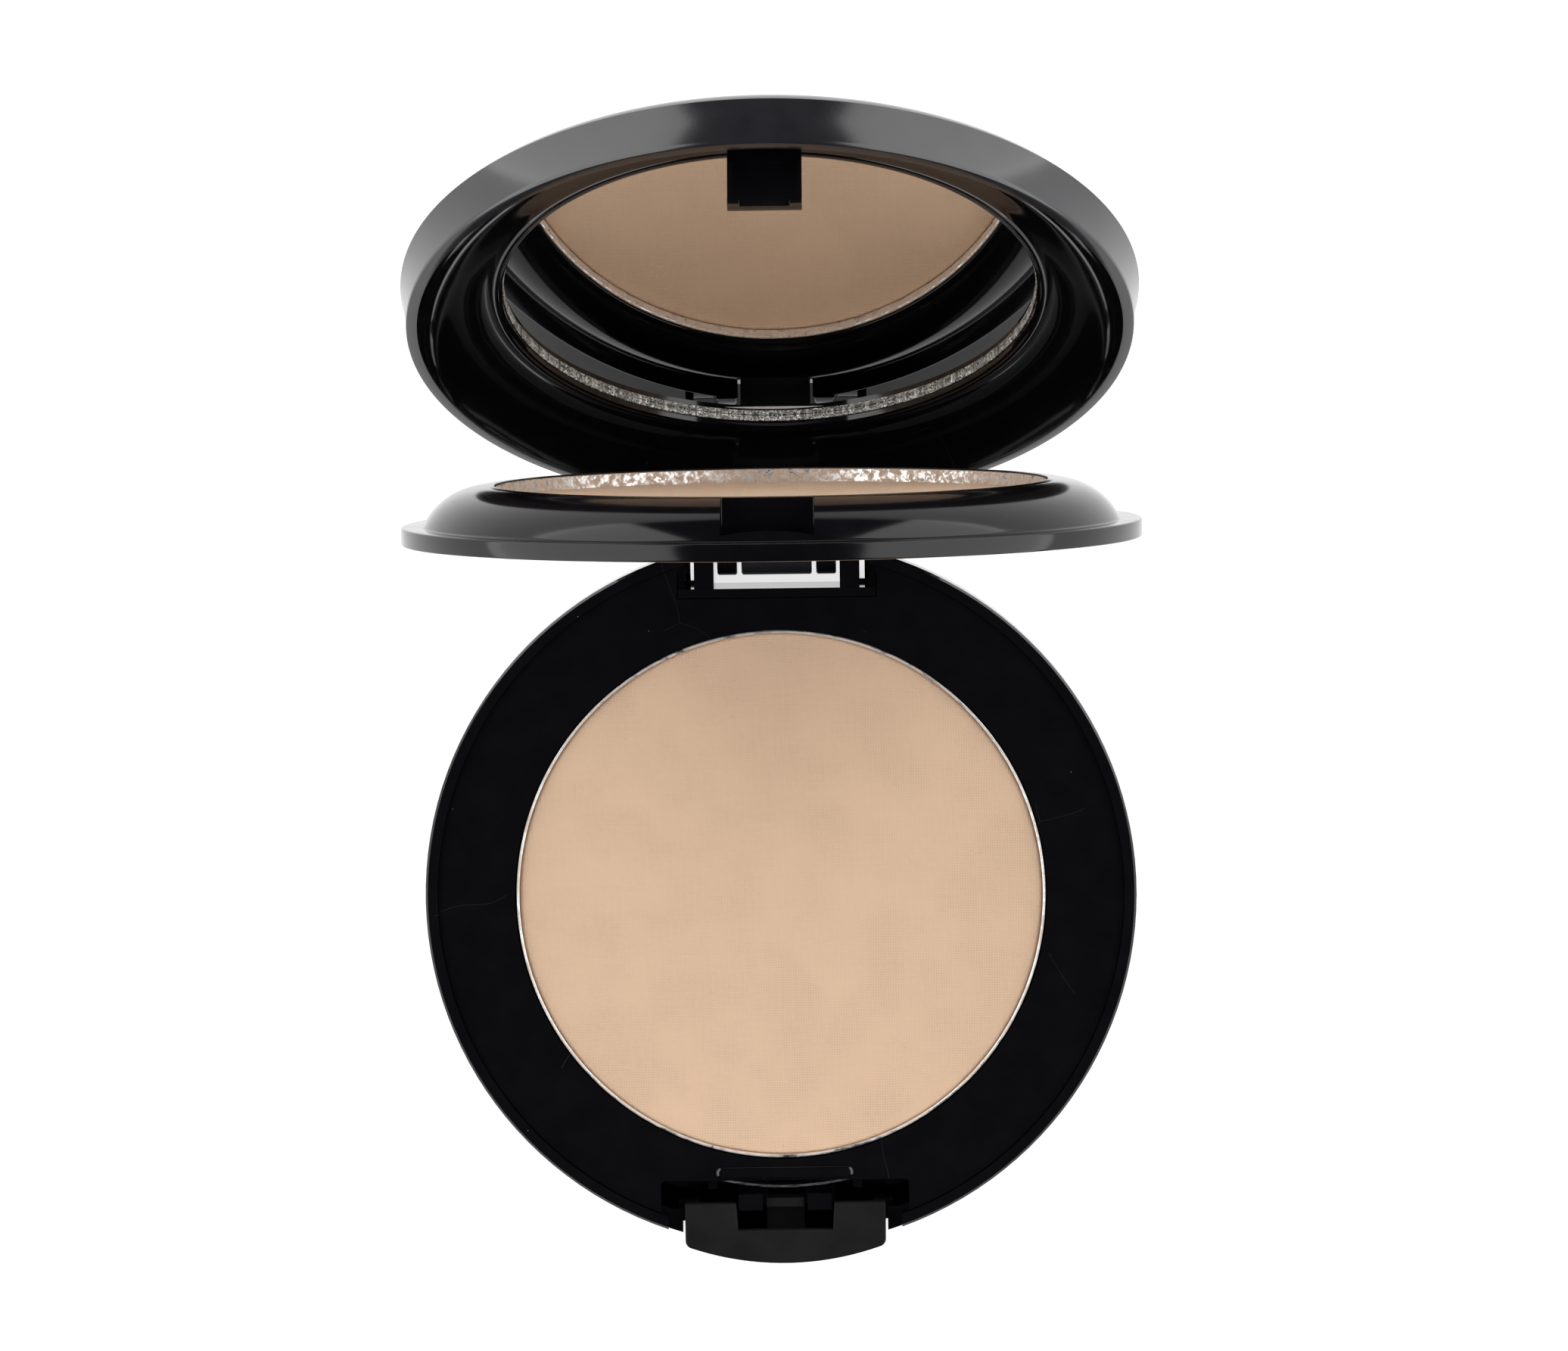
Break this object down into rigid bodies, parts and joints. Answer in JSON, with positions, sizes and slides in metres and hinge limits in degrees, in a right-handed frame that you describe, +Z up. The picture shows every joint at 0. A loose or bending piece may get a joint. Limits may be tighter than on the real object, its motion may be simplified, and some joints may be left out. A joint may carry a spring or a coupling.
{
  "type": "powder compact",
  "caption": "Round three-deck powder compact: base and swinging tray with pressed powder, mirror lid, push-button latch.",
  "frame": {"origin": "centre of the base's flat underside", "axes": "+Z up, -Y towards the push button, +Y towards the hinge, +X to the right seen from the button side"},
  "size_m": [0.0797, 0.1307, 0.0867],
  "materials": {
    "gloss_black": "high gloss moulded plastic",
    "satin_black": "satin moulded plastic",
    "matte_black": "fine matte texture",
    "pan_metal": "bright drawn sheet",
    "pressed_powder": "matte, cloth imprint",
    "mirror": "back-silvered glass, ground edge",
    "steel": "drawn wire",
    "hot_glue": "set adhesive",
    "foam_tape": "thin white foam",
    "label_paper": "blank coated paper"
  },
  "bodies": {
    "base": {"base_shell": "gloss_black", "base_plate": "gloss_black", "base_glue_dots": "hot_glue", "base_pan": "pan_metal", "base_powder": "pressed_powder", "bottom_label": "label_paper", "hinge_pin": "steel", "button_spring": "steel"},
    "button": {"push_button": "matte_black"},
    "tray": {"tray_shell": "gloss_black", "tray_bottom_plate": "gloss_black", "tray_glue_dots": "hot_glue", "tray_pan": "pan_metal", "tray_powder": "pressed_powder"},
    "lid": {"lid_shell": "satin_black", "lid_frame": "gloss_black", "mirror_glass": "mirror", "mirror_tape": "foam_tape"}
  },
  "joints": [
    {"name": "tray_hinge", "type": "hinge", "parent": "base", "child": "tray", "pos_m": [0, 0.0389, 0.0082], "axis": [-1, 0, 0], "range_deg": [-90, 0]},
    {"name": "lid_hinge", "type": "hinge", "parent": "tray", "child": "lid", "pos_m": [0, 0.0389, 0.0082], "axis": [-1, 0, 0], "range_deg": [-32, 8]},
    {"name": "button_slide", "type": "slide", "parent": "base", "child": "button", "axis": [0, 1, 0], "range_m": [0, 0.0008], "stiffness_N_per_m": 1500, "springref_m": -0.0008}
  ]
}
